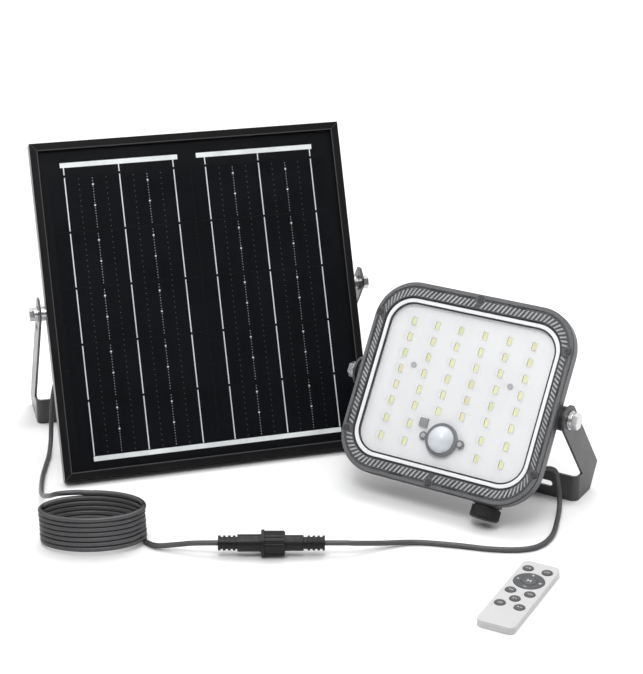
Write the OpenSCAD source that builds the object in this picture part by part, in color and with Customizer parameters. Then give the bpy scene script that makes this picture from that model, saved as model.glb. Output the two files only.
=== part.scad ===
// Solar flood light kit: a framed solar panel on a tilting bracket, a flood light on a tilting
// bracket, the cable and screw connector between them, and a remote control. Millimetres, +Z up.
// Local frames: "panel" and "lamp" have x across, z up the front face and y into the object.

/* [Solar panel] */
// Width of the framed panel
panel_w = 350; // [330:1:370]
// Height of the framed panel
panel_h = 370; // [350:1:390]
// Depth of the panel frame
frame_d = 20; // [18:0.5:25]
// Angle at which the panel leans back
panel_tilt = 24; // [10:1:45]
// Height of the panel bracket's hinge bolts above the ground
panel_pivot_h = 172; // [165:1:185]

/* [Flood light] */
// Width of the light's front cover
cover_w = 231; // [220:1:240]
// Height of the light's front cover
cover_h = 212; // [205:1:220]
// Corner radius of the front cover
cover_r = 44; // [36:1:50]
// Angle at which the light leans back
lamp_tilt = 33.5; // [20:0.5:45]
// Height of the lamp bracket's hinge bolts above the ground
lamp_pivot_h = 110; // [108:1:125]
// Spacing of the LED columns
led_pitch_x = 28.3; // [26:0.1:30]
// Spacing of the LED rows
led_pitch_z = 17.9; // [16:0.1:18.5]

/* [Cable] */
// Diameter of the cable
cable_d = 5.4; // [4:0.1:5.6]
// Number of turns in the coil
coil_turns = 7; // [4:1:8]
// Half the length of the oval coil, to the cable's centre line
coil_a = 52; // [45:1:55]
// Half the depth of the oval coil, to the cable's centre line
coil_b = 27; // [24:1:34]

/* [Remote] */
// Width of the remote
remote_w = 38.5; // [36:0.5:42]
// Length of the remote
remote_l = 126; // [122:1:130]
// Thickness of the remote
remote_t = 7.5; // [7:0.5:9]

/* [Hidden] */
$fn = 64;
gap = 0.05;         // clearance between neighbouring pieces
run = 0.08;         // radial clearance of a turning fit
big = 1000;

// Placement of the groups on the ground, relative to the centre of the footprint
origin = [25.36, 13.84];
panel_at = [-133.5 + origin.x, 101.5 + origin.y];
lamp_at = [149 + origin.x, -25 + origin.y];
coil_at = [-233 + origin.x, -149 + origin.y];
plug_at = [-40 + origin.x, -175 + origin.y, 13.7];
remote_at = [190 + origin.x, -262 + origin.y];
panel_yaw = 15.7;
lamp_yaw = -31;
remote_yaw = -28;

// Panel: layers from the front face backwards, and frame section
lip_w = 8.5;
lip_t = 1.4;
wall_t = 1.6;
glass_t = 3.2;
glass_y = lip_t + gap;
ribbon_y = glass_y + glass_t + gap;
ribbon_t = 0.15;
cell_y = ribbon_y + ribbon_t + gap;
cell_t = 0.2;
backsheet_y = cell_y + cell_t + gap;
backsheet_t = 0.6;
channel_y = backsheet_y + backsheet_t + gap;
channel_t = 1.4;
flange_t = 1.5;
flange_w = 12;
glass_w = panel_w - 2 * (wall_t + 0.4);
glass_h = panel_h - 2 * (wall_t + 0.4);
cell_w = 156.75;
cell_h = 61.3;
cell_pitch_x = 158;
cell_pitch_z = 61.85;
cell_z = -7.7;      // the cells sit a little below the middle
busbars = 5;
busbar_pitch = 30.46;
strip_h = 5.4;
top_strip_z = 159.2;
low_strip_z = -164.5;
panel_pivot_y = (channel_y + channel_t + frame_d - flange_t) / 2;

// Panel hinge bolts, M8
panel_leg_t = 2.5;
panel_spacer_l = 6.4;
panel_leg_in = panel_w / 2 + panel_spacer_l + 2 * gap;
panel_leg_out = panel_leg_in + panel_leg_t;
m8_r = 4;
m8_head_r = 7.5;
m8_head_h = 5.5;
panel_leg_w = 26;
panel_leg_lean = 40;
panel_foot_h = 30;
panel_foot_b = 86.3;
panel_leg_cut = [8, 12];

// Light: layers from the front face backwards
cover_t = 2.6;
wall = 2.5;
shell_w = cover_w + 2;
shell_h = cover_h + 2;
shell_r = cover_r + 1;
shell_y = cover_t + gap;
side_d = 14;
floor_y = 24.5;
box_w = 150;
box_h = 120;
box_y = 44;
ledge_w = 208;
ledge_h = 182;
ledge_r = 32;
board_w = 194;
board_h = 168;
board_r = 26;
board_y = 8;
board_t = 1.6;
led_t = 1;
lens_y = 4.4;
lens_t = 1.2;
led_z0 = 2.2;
pir_z = -54;
pir_r = 14.5;
lug_x = 21.5;
lamp_pivot_y = 21;
ctrl_y = 16;
gland_at = [86, -62];
boss_x = cover_w / 2 + 1.8;

// Light hinge bolts, M10
lamp_pad_t = 4.9;
lamp_leg_in = boss_x + lamp_pad_t + 2 * gap;
lamp_leg_t = 2.8;
lamp_leg_out = lamp_leg_in + lamp_leg_t;
m10_r = 5;
m10_head_r = 9.3;
m10_head_h = 6;
lamp_leg_w = 31;
lamp_leg_lean = 38.7;
lamp_foot_h = 29;
lamp_foot_b = 32;
lamp_leg_cut = [17, 26.7];

// Port under the light
port_x = 64;
port_y = 18.5;
port_top = -cover_h / 2 - 1.6;
cap_r = 15.5;
cap_h = 15;
spigot_r = 11;

// Connector, along x from the middle of the nut
nose_r = 6.1;
barrel_r = 9;
plug_r = 8;

// Remote
button_r = 5.5;
ring_r = 15.4;
mode_r = 7.5;
ring_z = 25.1;
shell_split = 4;
keys = [[-9.9, 48], [9.9, 48], [-9.9, 1.9], [9.9, 1.9], [0, -11.5], [-9.9, -24.8], [9.9, -24.8]];

// ---------- shared shapes ----------

module at_panel_yaw() translate([panel_at.x, panel_at.y, panel_pivot_h]) rotate([0, 0, panel_yaw])
  children();

module at_panel() at_panel_yaw() rotate([-panel_tilt, 0, 0]) translate([0, -panel_pivot_y, 0])
  children();

module at_lamp_yaw() translate([lamp_at.x, lamp_at.y, lamp_pivot_h]) rotate([0, 0, lamp_yaw])
  children();

module at_lamp() at_lamp_yaw() rotate([-lamp_tilt, 0, 0]) translate([0, -lamp_pivot_y, 0])
  children();

module at_remote() translate([remote_at.x, remote_at.y, 0]) rotate([0, 0, remote_yaw]) children();

module at_plug() translate(plug_at) children();

// Cylinder along x, from x1 to x2
module rod_x(r, x1, x2) translate([x1, 0, 0]) rotate([0, 90, 0]) cylinder(r = r, h = x2 - x1);

// Cylinder along y, from y1 to y2
module rod_y(r, y1, y2) translate([0, y1, 0]) rotate([-90, 0, 0]) cylinder(r = r, h = y2 - y1);

module tube_x(r, bore, x1, x2) difference() {
  rod_x(r, x1, x2);
  rod_x(bore, x1 - 1, x2 + 1);
}

module hex_x(r, x1, x2) translate([x1, 0, 0]) rotate([0, 90, 0])
  cylinder(r = r, h = x2 - x1, $fn = 6);

module rounded(w, h, r) {
  square([w - 2 * r, h], center = true);
  square([w, h - 2 * r], center = true);
  for (x = [-1, 1], z = [-1, 1]) translate([x * (w / 2 - r), z * (h / 2 - r)]) circle(r);
}

// Rounded plate facing y, from y1 to y2
module slab(w, h, r, y1, y2) translate([0, y2, 0]) rotate([90, 0, 0])
  linear_extrude(y2 - y1) rounded(w, h, r);

module block_y(w, h, y1, y2) translate([-w / 2, y1, -h / 2]) cube([w, y2 - y1, h]);

module both_sides() {
  children();
  mirror([1, 0, 0]) children();
}

// Bracket leg: a plate in the y-z plane, leaning back from the hinge, with a foot that comes
// forward to the base strip. Drawn with the hinge at the origin and the ground at -pivot_h.
// Its top end is round about the hinge, or reaches "top" past it with its corners cut off.
module leg_outline(w, lean, pivot_h, foot_b, foot_h, top, cut) {
  d = [sin(lean), -cos(lean)];
  n = [cos(lean), sin(lean)];
  rear_run = (pivot_h - cut.y + n.y * w / 2) / cos(lean);
  rear = n * w / 2 + d * rear_run;
  front_run = (pivot_h - foot_h - n.y * w / 2) / cos(lean);
  chamfer = top > 0 ? 6 : 0;
  ends = top > 0 ? [-d * top - n * (w / 2 - chamfer), -d * top + n * (w / 2 - chamfer)] : [];
  polygon(concat([
    n * w / 2 - d * (top - chamfer), rear, [rear.x - cut.x, -pivot_h], [foot_b, -pivot_h],
    [foot_b, -pivot_h + foot_h], -n * w / 2 + d * front_run, -n * w / 2 - d * (top - chamfer)
  ], ends));
}

// U-shaped bracket: two legs, a base strip standing on its lower edge, and bends at the corners
module bracket(inner, t, w, lean, pivot_h, foot_b, foot_h, top, cut, hole_r, slot_at = 0) {
  bend_r = 5;
  corner = inner - bend_r;
  both_sides() difference() {
    translate([inner, 0, 0]) rotate([90, 0, 90]) linear_extrude(t) difference() {
      union() {
        leg_outline(w, lean, pivot_h, foot_b + bend_r + t, foot_h, top, cut);
        if (top == 0) circle(w / 2);
      }
      if (slot_at > 0) rotate(lean) translate([0, -slot_at]) {
        for (z = [-4, 4]) translate([0, z]) circle(3);
        square([6, 8], center = true);
      }
    }
    rod_x(hole_r, inner - 1, inner + t + 1);
  }
  both_sides() translate([corner, foot_b + bend_r + t, -pivot_h])
    rotate([0, 0, -90]) rotate_extrude(angle = 90) translate([bend_r, 0]) square([t, foot_h]);
  difference() {
    translate([-corner, foot_b, -pivot_h]) cube([2 * corner, t, foot_h]);
    translate([0, 0, foot_h / 2 - pivot_h]) {
      rod_y(4.25, foot_b - 1, foot_b + t + 1);
      both_sides() translate([0.72 * inner, 0, 0]) {
        for (x = [-5, 5]) translate([x, 0, 0]) rod_y(3.25, foot_b - 1, foot_b + t + 1);
        translate([-5, foot_b - 1, -3.25]) cube([10, t + 2, 6.5]);
      }
    }
  }
}

// ---------- swept cable ----------

function unit(v) = v / norm(v);
function spline_point(a, b, c, d, t) = 0.5 * (2 * b + (c - a) * t
  + (2 * a - 5 * b + 4 * c - d) * t * t + (3 * b - a - 3 * c + d) * t * t * t);
function spline(p, steps) = concat([for (i = [0:len(p) - 2], k = [0:steps - 1])
  spline_point(p[max(i - 1, 0)], p[i], p[i + 1], p[min(i + 2, len(p) - 1)], k / steps)],
  [p[len(p) - 1]]);
function tangents(p) = [for (i = [0:len(p) - 1])
  unit(p[min(i + 1, len(p) - 1)] - p[max(i - 1, 0)])];
function carry(n, t) = unit(n - (n * t) * t);
function normals(t, n0) = [for (i = 0, n = carry(n0, t[0]); i < len(t);
  i = i + 1, n = i < len(t) ? carry(n, t[i]) : n) n];

module sweep(path, d, sides) {
  t = tangents(path);
  n = normals(t, [0.1, 0.2, 1]);
  rows = len(path);
  points = [for (i = [0:rows - 1], j = [0:sides - 1]) let (a = 360 * j / sides)
    path[i] + d / 2 * (cos(a) * n[i] + sin(a) * cross(t[i], n[i]))];
  walls = [for (i = [0:rows - 2], j = [0:sides - 1]) let (a = i * sides + j,
    b = i * sides + (j + 1) % sides) each [[a, b + sides, b], [a, a + sides, b + sides]]];
  caps = [[for (j = [0:sides - 1]) j], [for (j = [sides - 1:-1:0]) (rows - 1) * sides + j]];
  polyhedron(points, concat(walls, caps));
}

coil_z = cable_d / 2 + 0.1;
coil_pitch = cable_d + 0.1;
coil_steps = 24;
coil_rounds = coil_turns + 0.25;
coil_path = [for (k = [0:coil_rounds * coil_steps]) let (a = 360 * k / coil_steps)
  [coil_a * cos(a), coil_b * sin(a), coil_z + coil_pitch * k / coil_steps]];
coil_top = coil_z + coil_pitch * coil_rounds;

// Relative to the coil's centre: from the connector to the coil, and from the coil up to the panel
plug_from_coil = plug_at - [coil_at.x, coil_at.y, 0];
coil_entry = spline([
  plug_from_coil + [-62, 0, 0], plug_from_coil + [-70, 0, 0], plug_from_coil + [-90, 3, -2],
  [coil_a + 33, -18.5, 7.5], [coil_a + 14, -14, coil_z + 1], [coil_a + 3, -5.5, coil_z],
  [coil_a + 0.2, -1, coil_z]
], 3);
panel_lead = spline([
  [-3, coil_b, coil_top], [-20, coil_b + 0.5, coil_top + 0.2], [-38, coil_b, coil_top - 1],
  [-50, 41, 32], [-62, 70, 18], [-69, 106, 9], [-73.5, 144, 3.6], [-74.3, 178, 3], [-74.4, 196, 4],
  [-74.4, 213, 14], [-73.9, 223, 36], [-71.5, 228, 62], [-64, 230, 84], [-44, 234, 98],
  [-14, 240, 102], [18, 248, 98], [40, 256, 97], [51.5, 261.7, 104], [54.5, 263, 116]
], 3);

// ---------- solar panel ----------

// Section of a frame rail: x inwards from the outer face, y backwards from the front face
module rail_section() polygon([
  [0, 0], [lip_w, 0], [lip_w, lip_t], [wall_t, lip_t], [wall_t, channel_y], [6, channel_y],
  [6, channel_y + channel_t], [wall_t, channel_y + channel_t], [wall_t, frame_d - flange_t],
  [flange_w, frame_d - flange_t], [flange_w, frame_d], [0, frame_d]
]);

// One rail along z at the left of a frame w wide and l high, with both ends mitred
module rail(w, l) intersection() {
  translate([-w / 2, 0, -l / 2]) linear_extrude(l) rail_section();
  translate([0, frame_d + 1, 0]) rotate([90, 0, 0]) linear_extrude(frame_d + 2) polygon([
    [-w / 2 - 1, l / 2 + 1 - gap], [-w / 2 - 1, -l / 2 - 1 + gap],
    [-w / 2 + 20, -l / 2 + 20 + gap], [-w / 2 + 20, l / 2 - 20 - gap]
  ]);
}

module frame_side_rails() color([0.06, 0.06, 0.065]) at_panel() difference() {
  both_sides() rail(panel_w, panel_h);
  translate([0, panel_pivot_y, 0]) rod_x(m8_r + 0.2, -big, big);
}

module frame_end_rails() color([0.06, 0.06, 0.065]) at_panel()
  for (a = [90, 270]) rotate([0, a, 0]) rail(panel_h, panel_w);

module frame_corner_keys() color([0.6, 0.6, 0.62]) at_panel() for (x = [-1, 1], z = [-1, 1])
  scale([x, 1, z]) translate([panel_w / 2 - wall_t - gap, channel_y + channel_t + gap,
    panel_h / 2 - wall_t - gap]) difference() {
      depth = frame_d - flange_t - channel_y - channel_t - 2 * gap;
      translate([-34, 0, -34]) cube([34, depth, 34]);
      translate([-40, -1, -40]) cube([35, depth + 2, 35]);
    }

module panel_glass() color([0.55, 0.6, 0.65, 0.4]) at_panel()
  block_y(glass_w, glass_h, glass_y, glass_y + glass_t);

module solar_cells() color([0.03, 0.03, 0.05]) at_panel()
  for (x = [-0.5, 0.5], z = [-2:2]) translate([x * cell_pitch_x, 0, cell_z + z * cell_pitch_z])
    block_y(cell_w, cell_h, cell_y, cell_y + cell_t);

// Ribbons along the cells, joined by two strips at the top and one at the bottom
module cell_ribbons() color([0.85, 0.85, 0.86]) at_panel() {
  for (x = [-0.5, 0.5], k = [0:busbars - 1])
    translate([x * cell_pitch_x + (k - (busbars - 1) / 2) * busbar_pitch, 0,
      (top_strip_z + low_strip_z) / 2])
      block_y(1.2, top_strip_z - low_strip_z, ribbon_y, ribbon_y + ribbon_t);
  for (strip = [[-78.1, 131, top_strip_z], [75.6, 134, top_strip_z], [0, 282, low_strip_z]])
    translate([strip.x, 0, strip.z]) block_y(strip.y, strip_h, ribbon_y, ribbon_y + ribbon_t);
}

module backsheet() color([0.03, 0.03, 0.03]) at_panel()
  block_y(glass_w, glass_h, backsheet_y, backsheet_y + backsheet_t);

// Junction box: open towards the back, closed by a lid with four screws
box_at = [-40, 28];
box_size = [78, 58];
box_back = backsheet_y + backsheet_t + gap;
box_depth = 14;
lid_t = 2.2;
module at_box() at_panel() translate([box_at.x, box_back, box_at.y]) children();

module junction_box() color([0.08, 0.08, 0.08]) at_box() difference() {
  slab(box_size.x, box_size.y, 5, 0, box_depth);
  slab(box_size.x - 14, box_size.y - 5, 3, 2, box_depth + 1);
  for (x = [-1, 1], z = [-1, 1]) translate([x * (box_size.x / 2 - 4), 0, z * (box_size.y / 2 - 6)])
    rod_y(1.3, 4, box_depth + 1);
  translate([0, box_depth / 2, -box_size.y / 2]) cylinder(r = 5, h = 12, center = true);
}

module junction_box_lid() color([0.1, 0.1, 0.1]) at_box() difference() {
  slab(box_size.x, box_size.y, 5, box_depth + gap, box_depth + lid_t);
  for (x = [-1, 1], z = [-1, 1]) translate([x * (box_size.x / 2 - 4), 0, z * (box_size.y / 2 - 6)])
    rod_y(1.7, 0, box_depth + lid_t + 1);
}

module junction_box_screws() color("silver") at_box() for (x = [-1, 1], z = [-1, 1])
  translate([x * (box_size.x / 2 - 4), 0, z * (box_size.y / 2 - 6)]) {
    rod_y(1.25, 4.5, box_depth + lid_t + 0.5);
    rod_y(3, box_depth + lid_t + gap, box_depth + lid_t + 1.8);
  }

// Gland: threaded stub in the box wall, hex collar and clamping cap, bored for the cable
module gland(r) difference() {
  union() {
    translate([0, 0, -4]) cylinder(r = r * 0.82, h = 5);
    cylinder(r = r * 1.16, h = 3, $fn = 6);
    translate([0, 0, 2.5]) cylinder(r = r, h = 11);
  }
  translate([0, 0, -5]) cylinder(r = cable_d / 2 + 0.1, h = 30);
}

module panel_cable_gland() color([0.07, 0.07, 0.07]) at_box()
  translate([0, box_depth / 2, -box_size.y / 2 - gap]) rotate([180, 0, 0]) gland(6);

module panel_pivot_blocks() color([0.7, 0.7, 0.72]) at_panel() both_sides()
  translate([panel_w / 2 - wall_t - gap, panel_pivot_y, 0]) difference() {
    depth = frame_d - flange_t - channel_y - channel_t - 2 * gap;
    translate([-12, -depth / 2, -14]) cube([12, depth, 28]);
    rod_x(m8_r + gap, -13, 1);
  }

module panel_pivot_bolts() color("silver") at_panel() both_sides() translate([0, panel_pivot_y, 0]) {
  rod_x(m8_r, panel_w / 2 - 12, panel_leg_out + 3.9);
  hex_x(m8_head_r, panel_leg_out + 3.75, panel_leg_out + 3.75 + m8_head_h);
}

module panel_pivot_washers() color([0.75, 0.75, 0.77]) at_panel() both_sides()
  translate([0, panel_pivot_y, 0]) {
    tube_x(8, m8_r + gap, panel_w / 2 + gap, panel_w / 2 + gap + panel_spacer_l);
    tube_x(8.5, m8_r + gap, panel_leg_out + gap, panel_leg_out + gap + 1.6);
    tube_x(7.2, m8_r + gap, panel_leg_out + 1.7, panel_leg_out + 3.7);
  }

module panel_bracket() color([0.5, 0.5, 0.52]) at_panel_yaw() bracket(panel_leg_in,
  panel_leg_t, panel_leg_w, panel_leg_lean, panel_pivot_h, panel_foot_b, panel_foot_h, 20,
  panel_leg_cut, m8_r + run, 30);

// ---------- cable and connector ----------

module panel_cable() color([0.12, 0.12, 0.13]) translate([coil_at.x, coil_at.y, 0])
  sweep(concat(coil_entry, coil_path, panel_lead), cable_d, 8);

module lamp_cable() color([0.12, 0.12, 0.13]) at_plug() sweep(spline([
  [26, 0, 0], [48, 0, 0], [60, 0, 0], [66, 0, 0], [76, 2, -1.5], [102, 13, -7.5],
  [136, 21, -10.9], [176, 15, -10.9], [212, 7, -10.9], [242, 6, -10.9], [262, 14, -10.8],
  [277, 35, -10.6], [287, 70, -10.3], [292, 94, -5.5], [291.7, 104, 8], [289.3, 107, 22]
], 3), cable_d, 8);

module socket_body() color([0.09, 0.09, 0.09]) at_plug() difference() {
  union() {
    for (k = [0:3]) rod_x(7.6, -64 + 5 * k, -61.5 + 5 * k);
    rod_x(6.2, -64, -44);
    rod_x(8.8, -44.5, -22);
    rod_x(barrel_r, -23, -4);
  }
  rod_x(cable_d / 2 + 0.1, -65, -50);
  rod_x(nose_r + run, -16, 0);
  for (y = [-2.5, 2.5]) translate([0, y, 0]) rod_x(1.15 + run, -32, 0);
}

module coupling_nut() color([0.1, 0.1, 0.1]) at_plug() difference() {
  union() {
    rod_x(11.6, -20, 3.4);
    rod_x(13.5, -20.5, -17.5);
    for (a = [0:20:340]) rotate([a, 0, 0]) translate([0, 11.6, 0]) rod_x(0.8, -18, 2.4);
  }
  rod_x(barrel_r + run, -21, 2);
  rod_x(plug_r + run, 0, 6);
}

module plug_body() color([0.09, 0.09, 0.09]) at_plug() difference() {
  union() {
    rod_x(nose_r, -14, 0);
    rod_x(barrel_r - 0.05, -1, 1.9);
    rod_x(plug_r, 1, 22);
    rod_x(6.2, 21, 43.5);
    for (k = [0:3]) rod_x(7.6, 26 + 5 * k, 28.5 + 5 * k);
  }
  rod_x(cable_d / 2 + run, 1, 45);
  for (y = [-2.5, 2.5]) translate([0, y, 0]) rod_x(1.2, -15, -8);
}

module plug_pins() color([0.8, 0.68, 0.3]) at_plug() for (y = [-2.5, 2.5]) translate([0, y, 0]) {
  rod_x(1.15, -24, -8.1);
}

module plug_seal() color([0.75, 0.3, 0.15]) at_plug() tube_x(8.2, nose_r + gap, -3.6, -1.1);

// ---------- flood light ----------

module led_at() for (i = [0:5], j = [0:7])
  if (j < 6 || i < 2 || i > 3)
    translate([(i - 2.5) * led_pitch_x, 0, led_row_z(j)]) children();

// The last two rows are spaced a tenth wider
function led_row_z(j) = led_z0 + (3.5 - j) * led_pitch_z - max(0, j - 5) * led_pitch_z * 0.1;

cover_screw_at = [[0, 100.5], [0, -100.5], [-110, 66], [110, 66], [-110, -66], [110, -66]];

module lamp_housing() color([0.27, 0.28, 0.29]) at_lamp() difference() {
  union() {
    slab(shell_w, shell_h, shell_r, shell_y, side_d);
    hull() {
      slab(shell_w, shell_h, shell_r, side_d - 1, side_d, $fn = 32);
      slab(shell_w - 26, shell_h - 26, shell_r - 12, floor_y - 1, floor_y, $fn = 32);
    }
    slab(box_w, box_h, 14, floor_y - 1, box_y);
    for (k = [0:4]) both_sides() translate([box_w / 2 + 5 + k * 5.2, floor_y - 1, -50])
      cube([1.8, 9, 100]);
    both_sides() translate([0, lamp_pivot_y, 0]) rod_x(13, 98, boss_x);
    translate([port_x, port_y, port_top]) cylinder(r = cap_r, h = 16);
    translate([port_x, port_y, port_top - 10]) cylinder(r = spigot_r, h = 12);
  }
  slab(ledge_w, ledge_h, ledge_r, 0, 9);
  difference() {
    slab(board_w + 12, board_h + 12, board_r + 4, 8.9, floor_y - wall);
    both_sides() translate([0, lamp_pivot_y, 0]) rod_x(13, 98, boss_x);
    both_sides() translate([57, 0, 18]) rod_y(3.5, board_y + board_t + gap, floor_y);
  }
  difference() {
    slab(box_w - 2 * wall, box_h - 2 * wall, 12, floor_y - wall - 1, box_y - wall);
    both_sides() translate([57, 0, 18]) rod_y(3.5, floor_y - wall - 2, box_y);
    both_sides() for (z = [-38, 38]) translate([45, 0, z]) rod_y(3, ctrl_y + 1.65, box_y);
  }
  both_sides() translate([57, 0, 18]) rod_y(1.55, 9, 18);
  both_sides() translate([0, lamp_pivot_y, 0]) rod_x(m10_r + gap, 103, boss_x + 1);
  for (p = cover_screw_at) translate([p.x, 0, p.y]) rod_y(1.5, 0, 13);
  translate([port_x, port_y, port_top - 11]) cylinder(r = 5.1, h = 20);
  translate([gland_at.x, 0, gland_at.y]) rod_y(5.8, floor_y - wall - 1, floor_y + 10);
}

module front_cover() color([0.7, 0.73, 0.75, 0.5]) at_lamp() difference() {
  slab(cover_w, cover_h, cover_r, 0, cover_t);
  for (p = cover_screw_at) translate([p.x, 0, p.y]) {
    rod_y(1.8, -1, cover_t + 1);
    rod_y(3.6, -1, 1.2);
  }
  translate([0, 0, pir_z]) rod_y(pir_r + 0.3, -1, cover_t + 1);
}

module cover_seal() color([0.1, 0.1, 0.1]) at_lamp() difference() {
  slab(ledge_w - 0.4, ledge_h - 0.4, ledge_r - 0.2, shell_y, shell_y + 2.2);
  slab(ledge_w - 4, ledge_h - 4, ledge_r - 2, 0, 10);
}

module cover_screws() color([0.35, 0.35, 0.36]) at_lamp() for (p = cover_screw_at)
  translate([p.x, 0, p.y]) {
    rod_y(1.4, 0.8, 12);
    difference() {
      rod_y(3.4, -0.9, 1.1);
      rotate([0, 45, 0]) block_y(4, 0.8, -1, -0.3);
      rotate([0, -45, 0]) block_y(4, 0.8, -1, -0.3);
    }
  }

module reflector_frame() color([0.95, 0.95, 0.95]) at_lamp() difference() {
  slab(ledge_w - 4.6, ledge_h - 4.6, ledge_r - 2.3, shell_y, 8.9);
  slab(board_w + 1.6, board_h + 1.6, board_r + 0.8, 0, 12);
}

module led_board() color([0.93, 0.93, 0.93]) at_lamp() difference() {
  slab(board_w, board_h, board_r, board_y, board_y + board_t);
  translate([0, 0, pir_z]) rod_y(7, 0, 20);
  both_sides() translate([57, 0, 18]) rod_y(1.7, 0, 20);
  both_sides() translate([lug_x, 0, pir_z]) rod_y(1.7, 0, 20);
}

module led_packages() color([0.93, 0.93, 0.62]) at_lamp() led_at()
  block_y(5.6, 9.4, board_y - gap - led_t, board_y - gap);

module lens_plate() color([0.9, 0.92, 0.95, 0.4]) at_lamp() difference() {
  union() {
    slab(board_w, board_h, board_r, lens_y, lens_y + lens_t);
    led_at() rod_y(5.5, lens_y - 1.2, lens_y + 0.5);
  }
  translate([0, 0, pir_z]) rod_y(18.2, 0, 20);
  for (x = [-lug_x, lug_x]) translate([x, 0, pir_z]) rod_y(4.8, 0, 20);
  translate([-26, 0, pir_z + 14]) block_y(11, 11, 0, 20);
  both_sides() translate([57, 0, 18]) rod_y(3.6, 0, 20);
}

module pir_ring() color([0.6, 0.62, 0.63]) at_lamp() translate([0, 0, pir_z]) difference() {
  union() {
    rod_y(18, cover_t + gap, 5.4);
    for (x = [-lug_x, lug_x]) translate([x, 0, 0]) rod_y(4.6, cover_t + 1, 5.4);
  }
  rod_y(pir_r + 1.4, cover_t + 1.2, 6);
  rod_y(pir_r + 0.3, 0, 6);
  for (x = [-lug_x, lug_x]) translate([x, 0, 0]) rod_y(1.6, 0, 6);
}

// Fresnel dome: a hollow cap with a flange held behind the ring
dome_h = 11;
dome_r = (pir_r * pir_r + dome_h * dome_h) / (2 * dome_h);
module pir_dome() color([0.92, 0.93, 0.94]) at_lamp() translate([0, cover_t - 1, pir_z])
  rotate([90, 0, 0]) rotate_extrude() difference() {
    union() {
      intersection() {
        translate([0, dome_h - dome_r]) circle(dome_r);
        square([pir_r + 1, dome_h + 1]);
      }
      translate([0, -4]) square([pir_r, 4.1]);
      translate([0, -4]) square([pir_r + 1.2, 1]);
    }
    intersection() {
      translate([0, dome_h - dome_r]) circle(dome_r - 1);
      translate([0, -0.1]) square([pir_r, dome_h]);
    }
    translate([0, -5]) square([pir_r - 1.1, 5]);
  }

module pir_sensor() color([0.75, 0.76, 0.78]) at_lamp() translate([0, 0, pir_z]) {
  rod_y(4.6, 3.5, board_y - gap);
  for (a = [45, 165, 285]) rotate([0, a, 0]) translate([2.5, 0, 0]) rod_y(0.3, board_y - 1, 13);
}

module board_screws() color([0.62, 0.63, 0.64]) at_lamp() {
  both_sides() translate([57, 0, 18]) {
    rod_y(3.3, board_y - 2, board_y - gap);
    rod_y(1.5, board_y - 1, 16);
  }
  for (x = [-lug_x, lug_x]) translate([x, 0, pir_z]) {
    rod_y(2.6, cover_t + 0.1, cover_t + 0.95);
    rod_y(1.5, cover_t + 0.5, 12);
  }
}

module sensor_window() color([0.45, 0.45, 0.45]) at_lamp() translate([-26, 0, pir_z + 14])
  block_y(9.6, 9.6, board_y - 4, board_y - gap);

module battery_cells() color([0.2, 0.45, 0.7]) at_lamp() for (z = [-1, 0, 1])
  translate([0, 32, z * 19.4]) rod_x(9.2, -35, 35);

module battery_holder() color([0.15, 0.15, 0.15]) at_lamp() difference() {
  block_y(82, 70, 30, box_y - wall - gap);
  for (z = [-1, 0, 1]) translate([0, 32, z * 19.4]) rod_x(9.3, -36, 36);
}

module control_board() color([0.1, 0.35, 0.2]) at_lamp() {
  block_y(100, 86, ctrl_y, ctrl_y + 1.6);
  for (x = [-36, -10, 26]) translate([x, 0, 28]) block_y(14, 10, ctrl_y - 3, ctrl_y + 0.1);
  translate([36, 0, -25]) rod_y(5, ctrl_y - 4, ctrl_y + 0.1);
}

module lamp_cable_gland() color([0.07, 0.07, 0.07]) at_lamp()
  translate([gland_at.x, floor_y + gap, gland_at.y]) rotate([-90, 0, 0]) gland(7);

module lamp_pivot_bolts() color("silver") at_lamp() both_sides() translate([0, lamp_pivot_y, 0]) {
  rod_x(m10_r, 104, lamp_leg_out + 4.6);
  hex_x(m10_head_r, lamp_leg_out + 4.45, lamp_leg_out + 4.45 + m10_head_h);
}

module lamp_pivot_washers() color([0.75, 0.75, 0.77]) at_lamp() both_sides()
  translate([0, lamp_pivot_y, 0]) {
    tube_x(10, m10_r + gap, lamp_leg_out + gap, lamp_leg_out + gap + 2);
    tube_x(8.8, m10_r + gap, lamp_leg_out + 2.1, lamp_leg_out + 4.4);
  }

module lamp_pivot_pads() color([0.12, 0.12, 0.12]) at_lamp() both_sides()
  translate([0, lamp_pivot_y, 0]) tube_x(13, m10_r + gap, boss_x + gap, boss_x + gap + lamp_pad_t);

module lamp_bracket() color([0.27, 0.27, 0.28]) at_lamp_yaw() bracket(lamp_leg_in, lamp_leg_t,
  lamp_leg_w, lamp_leg_lean, lamp_pivot_h, lamp_foot_b, lamp_foot_h, 0, lamp_leg_cut, m10_r + run);

module at_port() at_lamp() translate([port_x, port_y, port_top]) children();

module power_button() color([0.7, 0.2, 0.15]) at_port() {
  translate([0, 0, -9]) cylinder(r = 5.03, h = 14);
}

module port_seal() color([0.15, 0.15, 0.15]) at_port() translate([0, 0, -1.9]) difference() {
  cylinder(r = spigot_r + 2.2, h = 1.8);
  translate([0, 0, -1]) cylinder(r = spigot_r + 0.06, h = 4);
}

module port_cap() color([0.07, 0.07, 0.07]) at_port() difference() {
  union() {
    translate([0, 0, -cap_h]) cylinder(r = cap_r, h = cap_h - 2);
    for (a = [0:12:200]) rotate([0, 0, a - 100]) translate([cap_r, 0, -cap_h + 2])
      cylinder(r = 0.6, h = cap_h - 4.5, $fn = 16);
  }
  translate([0, 0, -cap_h + 3]) cylinder(r = spigot_r + run, h = cap_h);
}

// ---------- remote ----------

module remote_outline(inset) rounded(remote_w - 2 * inset, remote_l - 2 * inset, 6 - inset);

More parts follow.
